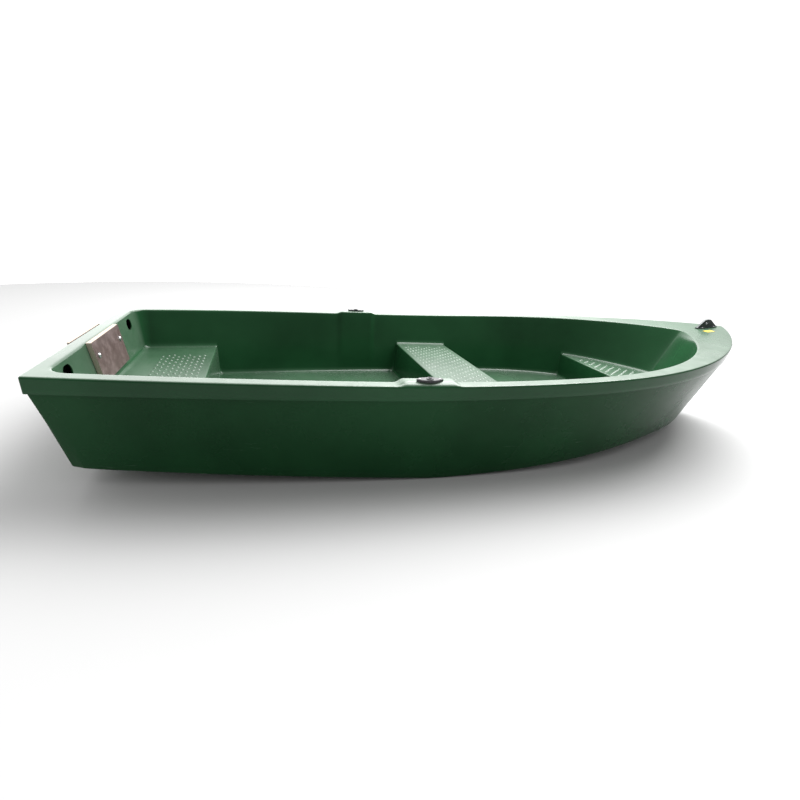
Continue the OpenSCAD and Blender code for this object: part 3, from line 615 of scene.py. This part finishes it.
class Tree:
    """Short calls to add nodes to a material."""

    def __init__(self, m):
        self.t = m.node_tree
        self.b = self.t.nodes["Principled BSDF"]
        self.coord = self.t.nodes.new("ShaderNodeTexCoord").outputs["Object"]

    def put(self, kind, **inputs):
        n = self.t.nodes.new(kind)
        for k, v in inputs.items():
            self.set(n.inputs[k.replace("_", " ")], v)
        return n

    def set(self, socket, v):
        if isinstance(v, bpy.types.NodeSocket):
            self.t.links.new(v, socket)
        else:
            socket.default_value = v

    def noise(self, scale, detail=4.0, rough=0.55, stretch=None):
        v = self.coord
        if stretch:
            v = self.put("ShaderNodeMapping", Vector=v, Scale=stretch).outputs["Vector"]
        tex = self.put("ShaderNodeTexNoise", Vector=v, Scale=scale, Detail=detail, Roughness=rough)
        return tex.outputs["Fac"]

    def ramp(self, fac, stops):
        r = self.put("ShaderNodeValToRGB", Fac=fac)
        el = r.color_ramp.elements
        while len(el) < len(stops):
            el.new(0.5)
        for e, (p, c) in zip(el, stops):
            e.position = p
            e.color = (*c, 1) if isinstance(c, tuple) else (c, c, c, 1)
        return r.outputs["Color"]

    def math(self, op, a, b=0.0, c=0.0, limit=False):
        n = self.t.nodes.new("ShaderNodeMath")
        n.operation = op
        n.use_clamp = limit
        for i, v in enumerate((a, b, c)):
            self.set(n.inputs[i], v)
        return n.outputs["Value"]

    def blend(self, fac, a, b):
        n = self.t.nodes.new("ShaderNodeMix")
        n.data_type = "RGBA"
        self.set(n.inputs["Factor"], fac)
        for key, v in (("A", a), ("B", b)):
            s = [i for i in n.inputs if i.name == key and i.type == "RGBA"][0]
            self.set(s, (*v, 1) if isinstance(v, tuple) else v)
        return [o for o in n.outputs if o.type == "RGBA"][0]

    def axes(self):
        return self.put("ShaderNodeSeparateXYZ", Vector=self.coord).outputs

    def bump(self, height, strength, distance, after=None):
        n = self.put("ShaderNodeBump", Height=height, Strength=strength, Distance=distance)
        if after is not None:
            self.set(n.inputs["Normal"], after)
        return n.outputs["Normal"]

    def finish(self, color=None, rough=None, normal=None):
        for key, v in (("Base Color", color), ("Roughness", rough), ("Normal", normal)):
            if v is not None:
                self.set(self.b.inputs[key], v)


def gelcoat(name, color, rough, worn, flat_level, upright_level, painted_light_gain=1.0):
    """Glossy pigmented gelcoat.

    Mottling, orange peel, print-through, scuffs, a painted sheen on flat faces, painted light on what
    faces forward at the stern, and less reflection on upright faces than on flat ones.
    """
    m = material(name, color, rough, IOR=1.5, Specular_IOR_Level=flat_level)
    t = Tree(m)
    light = tuple(min(1, c * 1.25 + 0.002) for c in color)
    dark = tuple(c * 0.8 for c in color)
    body = t.ramp(t.noise(2.3, 3), [(0.3, dark), (0.7, light)])
    body = t.blend(t.math("MULTIPLY", t.noise(900, 2), 0.10), body, tuple(c * 2 for c in color))
    scuff = t.ramp(t.noise(9, 8, 0.7, (0.35, 1.6, 1.6)), [(0.60, 0.0), (0.72, 1.0)])
    fine = t.ramp(t.noise(160, 3, 0.6, (0.05, 1, 1)), [(0.58, 0.0), (0.66, 1.0)])
    axes = t.axes()
    x, z = axes["X"], axes["Z"]
    low = t.math("MULTIPLY_ADD", z, -1 / 0.16, 1.0, limit=True)
    wear = t.math("MULTIPLY_ADD", low, 0.5 * worn, 0.12 * worn)
    wear = t.math("MULTIPLY", t.math("MULTIPLY", scuff, fine), wear)
    body = t.blend(wear, body, tuple(0.12 + c * 1.5 for c in color))
    normal = t.t.nodes.new("ShaderNodeNewGeometry").outputs["Normal"]
    faces = t.put("ShaderNodeSeparateXYZ", Vector=normal).outputs
    flat = t.ramp(t.math("ABSOLUTE", faces["Z"]), [(0.55, 0.0), (0.95, 1.0)])
    seat = t.math("MULTIPLY", flat, t.ramp(z, [(0.05, 0.4), (0.225, 1.0), (0.275, 1.0), (0.40, 0.55)]))
    share = t.ramp(z, [(0.14, 0.06), (0.20, 0.08), (0.30, 0.08), (0.40, 0.2)])
    # Painted sheen: flat faces at seat and gunwale height are painted pale in patches, in place of the
    # overhead light on them.
    patches = t.math("MULTIPLY_ADD", t.noise(14, 5, 0.6), 1.2 * painted_light_gain, 0.4 * painted_light_gain)
    film = t.math("MULTIPLY", t.math("MULTIPLY", flat, share), patches)
    along = t.math("MULTIPLY_ADD", x, 0.25, 0.5)
    painted_sheen_ends = t.ramp(along, [(0.12, 0.45), (0.26, 1.0), (0.72, 1.0), (0.9, 0.3)])
    film = t.math("MULTIPLY", film, painted_sheen_ends, limit=True)
    # Painted light: faces turned to the bow near the stern are painted pale, in place of light falling on
    # them from the bow side.
    forward = t.ramp(faces["X"], [(0.7, 0.0), (0.93, 1.0)])
    painted_front_mask = t.math("MULTIPLY", forward, t.ramp(along, [(0.15, 0.07), (0.3, 0.0)]))
    painted_front_mask = t.math("MULTIPLY", painted_front_mask, painted_light_gain)
    painted_front_light = t.math("MULTIPLY", painted_front_mask, t.math("MULTIPLY_ADD", t.noise(11, 6, 0.6), 1.4, 0.3))
    film = t.math("ADD", film, painted_front_light, limit=True)
    # The painted sheen and the painted light on forward faces are mixed into the colour here.
    body = t.blend(film, body, (0.62, 0.68, 0.62))
    dull = t.math("MULTIPLY_ADD", t.noise(5, 5), 0.10, rough - 0.05)
    dull = t.math("ADD", dull, t.math("MULTIPLY", wear, 0.4), limit=True)
    dull = t.math("MULTIPLY_ADD", seat, 0.2, dull)
    level = t.math("MULTIPLY_ADD", flat, flat_level - upright_level, upright_level)
    t.set(t.b.inputs["Specular IOR Level"], level)
    n = t.bump(t.noise(420, 1), 0.03, 0.0005)
    n = t.bump(t.noise(7.5, 2, 0.4), 0.10, 0.004, n)
    t.finish(body, dull, n)
    return m


def moulded(name, color, rough):
    """Moulded plastic or rubber with a fine spark texture."""
    m = material(name, color, rough, IOR=1.49)
    t = Tree(m)
    dark, light = tuple(c * 0.8 for c in color), tuple(c * 1.5 + 0.004 for c in color)
    tone = t.ramp(t.noise(60, 4), [(0.3, dark), (0.75, light)])
    dull = t.math("MULTIPLY_ADD", t.noise(35, 4), 0.25, rough - 0.10)
    t.finish(tone, dull, t.bump(t.noise(1800, 3), 0.25, 0.0003))
    return m


def metal(name, color, rough):
    """Brushed metal, drawn out along Z."""
    m = material(name, color, rough, metal=1.0)
    t = Tree(m)
    streak = t.noise(900, 3, 0.6, (1, 1, 0.12))
    dull = t.math("MULTIPLY_ADD", streak, 0.22, rough - 0.08)
    tone = t.ramp(t.noise(120, 4), [(0.35, tuple(c * 0.82 for c in color)), (0.7, color)])
    t.finish(tone, dull, t.bump(streak, 0.08, 0.0003))
    return m


def plank(name, light, dark, rough):
    """Plain timber with its grain along X."""
    m = material(name, light, rough)
    t = Tree(m)
    grain = t.noise(30, 6, 0.6, (0.12, 3, 3))
    pores = t.noise(500, 3, 0.6, (0.06, 1, 1))
    tone = t.ramp(grain, [(0.32, dark), (0.62, light)])
    tone = t.blend(t.math("MULTIPLY", pores, 0.25), tone, tuple(c * 0.6 for c in dark))
    t.finish(tone, t.math("MULTIPLY_ADD", pores, 0.2, rough - 0.1), t.bump(pores, 0.25, 0.0004))
    return m


PLY_PAIR = 0.0033  # metres, a light and a dark layer of plywood


def faced_ply(name):
    """Resin film on both faces, bare layered edges."""
    m = material(name, (0.16, 0.11, 0.10), 0.42)
    t = Tree(m)
    a = math.radians(RAKE_DEG)
    square = (math.cos(a), 0.0, math.sin(a))  # square to the transom's faces
    geo = t.t.nodes.new("ShaderNodeNewGeometry")

    def along(v):
        n = t.t.nodes.new("ShaderNodeVectorMath")
        n.operation = "DOT_PRODUCT"
        t.set(n.inputs[0], v)
        n.inputs[1].default_value = square
        return n.outputs["Value"]

    face = t.ramp(t.math("ABSOLUTE", along(geo.outputs["Normal"])), [(0.75, 0.0), (0.9, 1.0)])
    flow = t.noise(21, 7, 0.66)
    film = t.ramp(flow, [(0.28, (0.060, 0.036, 0.032)), (0.5, (0.105, 0.071, 0.066)),
                         (0.72, (0.195, 0.146, 0.140))])
    specks = t.ramp(t.noise(240, 4, 0.7), [(0.55, 0.0), (0.75, 1.0)])
    film = t.blend(t.math("MULTIPLY", specks, 0.35), film, (0.40, 0.32, 0.31))
    runs = t.noise(70, 5, 0.7, (1, 0.2, 2.5))
    film = t.blend(t.math("MULTIPLY", runs, 0.25), film, (0.09, 0.06, 0.055))
    depth = t.math("MULTIPLY", along(t.coord), 2 * math.pi / PLY_PAIR)
    layer = t.math("MULTIPLY_ADD", t.math("SINE", depth), 0.5, 0.5)
    layer = t.ramp(layer, [(0.35, (0.46, 0.36, 0.28)), (0.6, (0.74, 0.65, 0.56))])
    fibres = t.noise(700, 3, 0.7, (1, 0.1, 1))
    layer = t.blend(t.math("MULTIPLY", fibres, 0.35), layer, (0.34, 0.26, 0.20))
    dull = t.math("MULTIPLY_ADD", face, -0.3, 0.72)
    dull = t.math("MULTIPLY_ADD", flow, 0.16, t.math("ADD", dull, -0.08))
    n = t.bump(t.noise(1300, 2), 0.12, 0.0003)
    n = t.bump(fibres, 0.15, 0.0004, n)
    t.finish(t.blend(face, layer, film), dull, n)
    return m


def film_label(name):
    """Blank yellow film with worn specks and a faint sheen."""
    m = material(name, (0.78, 0.56, 0.06), 0.3)
    t = Tree(m)
    tone = t.ramp(t.noise(90, 4), [(0.3, (0.66, 0.45, 0.04)), (0.7, (0.86, 0.66, 0.12))])
    tone = t.blend(t.ramp(t.noise(500, 3), [(0.6, 0.0), (0.8, 0.5)]), tone, (0.9, 0.82, 0.5))
    t.finish(tone, t.math("MULTIPLY_ADD", t.noise(60, 3), 0.2, 0.2), t.bump(t.noise(300, 3), 0.1, 0.0002))
    return m


def cell_foam(name):
    """Rigid cream foam with open cells on its cut faces."""
    m = material(name, (0.76, 0.66, 0.38), 0.9)
    t = Tree(m)
    cells = t.put("ShaderNodeTexVoronoi", Vector=t.coord, Scale=380.0).outputs["Distance"]
    tone = t.ramp(cells, [(0.1, (0.62, 0.52, 0.28)), (0.6, (0.80, 0.71, 0.44))])
    t.finish(tone, t.math("MULTIPLY_ADD", cells, 0.1, 0.85), t.bump(cells, 0.5, 0.001))
    return m


GREEN = (0.0105, 0.059, 0.0205)
hull_gel = gelcoat("hull_gelcoat", (0.0075, 0.047, 0.0150), 0.27, 1.0, 0.2, 0.10)
liner_gel = gelcoat("liner_gelcoat", GREEN, 0.17, 0.35, 0.5, 0.2)
ply = faced_ply("faced_plywood")
timber = plank("timber", (0.58, 0.40, 0.22), (0.36, 0.21, 0.10), 0.6)
steel = metal("stainless", (0.72, 0.72, 0.73), 0.24)
# The studs take the painted sheen 3.4 times as strongly: painted highlights on their tops.
stud_gel = gelcoat("stud_gelcoat", GREEN, 0.2, 0.35, 0.6, 0.5, 3.4)
plastic = moulded("black_plastic", (0.022, 0.024, 0.026), 0.32)
dark_eye = moulded("mooring_eye_plastic", (0.030, 0.040, 0.040), 0.30)
rubber = moulded("seal_rubber", (0.020, 0.020, 0.020), 0.6)
label = film_label("label_film")
foam = cell_foam("foam")

by_slot = {"faced_plywood": ply, "timber": timber, "stainless": steel, "black_plastic": plastic,
           "label": label, "foam": foam, "seal_rubber": rubber, "gelcoat": liner_gel}
slot_of = {s["node"]: s["material_slot"] for s in frame["record"]["subparts"]}
bevels = {"inner_motor_pad": 0.0012, "outer_motor_pad": 0.0012, "transom_core": 0.0015,
          "rowlock_socket_port": 0.0011, "rowlock_socket_starboard": 0.0011,
          "rowlock_backing_blocks": 0.0015, "mooring_eye": 0.0024, "motor_pad_nuts": 0.0006,
          "motor_pad_washers": 0.0004, "drain_socket": 0.0008, "drain_plug": 0.0008}
for name, ob in nodes.items():
    m = dark_eye if name == "mooring_eye" else by_slot[slot_of[name]]
    ob.data.materials.clear()
    ob.data.materials.append(m)
    if name in bevels:
        bv = ob.modifiers.new("edges", "BEVEL")
        bv.width = bevels[name]
        bv.segments = 3
        bv.limit_method = "ANGLE"
        bv.angle_limit = math.radians(35)

for ob, node, m in ((liner, "inner_liner", liner_gel), (hull, "outer_hull", hull_gel)):
    ob.data.materials.clear()
    ob.data.materials.append(m)
    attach(ob, "boat")
    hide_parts(node)


# ---------------------------------------------------------------- non-slip studs on the seats
STUD_A, STUD_B, STUD_H = 8.6, 12.0, 4.2  # half length, half width and height
STUD_SINK = 0.6  # how far a stud's rim goes into the seat
PITCH_S, PITCH_Y, SHIFT_Y = 24.5, 49, 16.3
STERN_FIELD, STERN_FIELD_HALF = (214, 430), 372
CENTRE_FIELD, CENTRE_FIELD_HALF = (CENTRE_S + 34, CENTRE_END - 32), 545
BOW_FIELD, BOW_MARGIN = (BOW_SEAT_S + 34, 3020), 62


def studs(name, spots):
    """One mesh of low domes at (station, y, height)."""
    bm = bmesh.new()
    turns, rings = 12, 4
    for s, y, z in spots:
        a, b = STUD_A + rng.uniform(-0.5, 0.5), STUD_B + rng.uniform(-0.7, 0.7)
        s, y = s + rng.uniform(-1, 1), y + rng.uniform(-1, 1)
        top = bm.verts.new(to_frame((s, y, z + STUD_H)))
        last = None
        for r in range(1, rings + 1):
            q = r / rings
            lift = STUD_H * (1 - smooth(q)) - (STUD_SINK if r == rings else 0)
            loop = []
            for k in range(turns):
                w = 2 * math.pi * k / turns
                point = (s + a * q * math.cos(w), y + b * q * math.sin(w), z + lift)
                loop.append(bm.verts.new(to_frame(point)))
            for k in range(turns):
                if last is None:
                    bm.faces.new((top, loop[k], loop[(k + 1) % turns]))
                else:
                    bm.faces.new((last[k], loop[k], loop[(k + 1) % turns], last[(k + 1) % turns]))
            last = loop
        bm.faces.new(last[::-1])
    for f in bm.faces:
        f.smooth = True
    me = bpy.data.meshes.new(name)
    bm.to_mesh(me)
    bm.free()
    me.materials.append(stud_gel)
    ob = add_object(name, me)
    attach(ob, "boat")


def lattice(s0, s1, z, room):
    """Stud places on a seat at height z, in rows that shift sideways in turn."""
    out = []
    for i in range(int((s1 - s0) / PITCH_S) + 1):
        s = s0 + PITCH_S * i
        for j in range(-20, 21):
            y = PITCH_Y * j + SHIFT_Y * (i % 3) - SHIFT_Y
            if abs(y) < room(s):
                out.append((s, y, z))
    return out


def bow_room(s):
    """Half the width of the bow seat's stud field."""
    si = NOSE_S + (s + 60 - NOSE_S) / NOSE_FOOT
    return foot_share_y * inner_half(min(si, INNER_END - 1)) - BOW_MARGIN


studs("stern_seat_studs", lattice(*STERN_FIELD, STERN_SEAT_Z, lambda s: STERN_FIELD_HALF))
studs("centre_seat_studs", lattice(*CENTRE_FIELD, CENTRE_SEAT_Z, lambda s: CENTRE_FIELD_HALF))
studs("bow_seat_studs", lattice(*BOW_FIELD, BOW_SEAT_Z, bow_room))

# ---------------------------------------------------------------- camera, light and floor
# The camera is the one fitted to the photograph's perspective.
CAMERA_AT = (-1.0885, -2.049, 0.941)
RIGHT, DOWN = Vector((0.9542, -0.2828, 0.0974)), Vector((-0.0138, -0.3668, -0.9302))
AHEAD = Vector((0.2988, 0.8863, -0.3539))
camera = add_object("camera", bpy.data.cameras.new("camera"))
camera.data.sensor_width = 36
camera.data.lens = 19.125
camera.data.shift_x = 0.0047
camera.data.shift_y = -0.0039
turn = Matrix((RIGHT, -DOWN, -AHEAD)).transposed().to_4x4()
camera.matrix_world = Matrix.Translation(CAMERA_AT) @ turn
bpy.context.scene.camera = camera

floor_mesh = bpy.data.meshes.new("floor")
fb = bmesh.new()
bmesh.ops.create_circle(fb, cap_ends=True, segments=96, radius=5.5)
fb.to_mesh(floor_mesh)
fb.free()
floor = add_object("floor", floor_mesh)
floor.location.z = -0.0005
floor_mesh.materials.append(material("floor", (0.52, 0.52, 0.52), 0.9, Specular_IOR_Level=0.0))

world = bpy.data.worlds.new("studio")
bpy.context.scene.world = world
world.use_nodes = True
wt = world.node_tree
background = wt.nodes["Background"]
direction = wt.nodes.new("ShaderNodeTexCoord").outputs["Generated"]
parts = wt.nodes.new("ShaderNodeSeparateXYZ")
wt.links.new(direction, parts.inputs[0])


def sky_step(value, low, high, to_low, to_high):
    n = wt.nodes.new("ShaderNodeMapRange")
    n.interpolation_type = "SMOOTHSTEP"
    wt.links.new(value, n.inputs["Value"])
    for key, v in (("From Min", low), ("From Max", high), ("To Min", to_low), ("To Max", to_high)):
        n.inputs[key].default_value = v
    return n.outputs["Result"]


def sky_math(op, a, b):
    n = wt.nodes.new("ShaderNodeMath")
    n.operation = op
    wt.links.new(a, n.inputs[0])
    wt.links.new(b, n.inputs[1])
    return n.outputs[0]


# A glow behind the boat, brightest low down and weaker towards the bow, over a dim even sky.
far_side = sky_step(parts.outputs["Y"], -0.1, 0.55, 0.0, 1.0)
height = sky_step(parts.outputs["Z"], -0.05, 0.9, 3.4, 0.9)
bow_limit = sky_step(parts.outputs["X"], 0.3, 0.8, 1.0, 0.28)
glow = sky_math("MULTIPLY", sky_math("MULTIPLY", far_side, height), bow_limit)
base = sky_step(parts.outputs["Z"], 0.0, 0.8, 0.24, 0.7)
wt.links.new(sky_math("ADD", glow, base), background.inputs["Strength"])
background.inputs["Color"].default_value = (1.0, 1.0, 1.0, 1)

lamp = bpy.data.lights.new("overhead", "AREA")
lamp.shape = "RECTANGLE"
lamp.size, lamp.size_y = 5.0, 4.0
lamp.energy = 640
LAMP_AT, LAMP_AIM = Vector((1.9, 1.6, 4.6)), Vector((0, 0, 0.3))
overhead = add_object("overhead", lamp)
tip = (LAMP_AIM - LAMP_AT).to_track_quat("-Z", "Y").to_matrix().to_4x4()
overhead.matrix_world = Matrix.Translation(LAMP_AT) @ tip

view = bpy.context.scene.view_settings
view.view_transform = "Standard"
view.look = "None"
view.exposure = 0.0
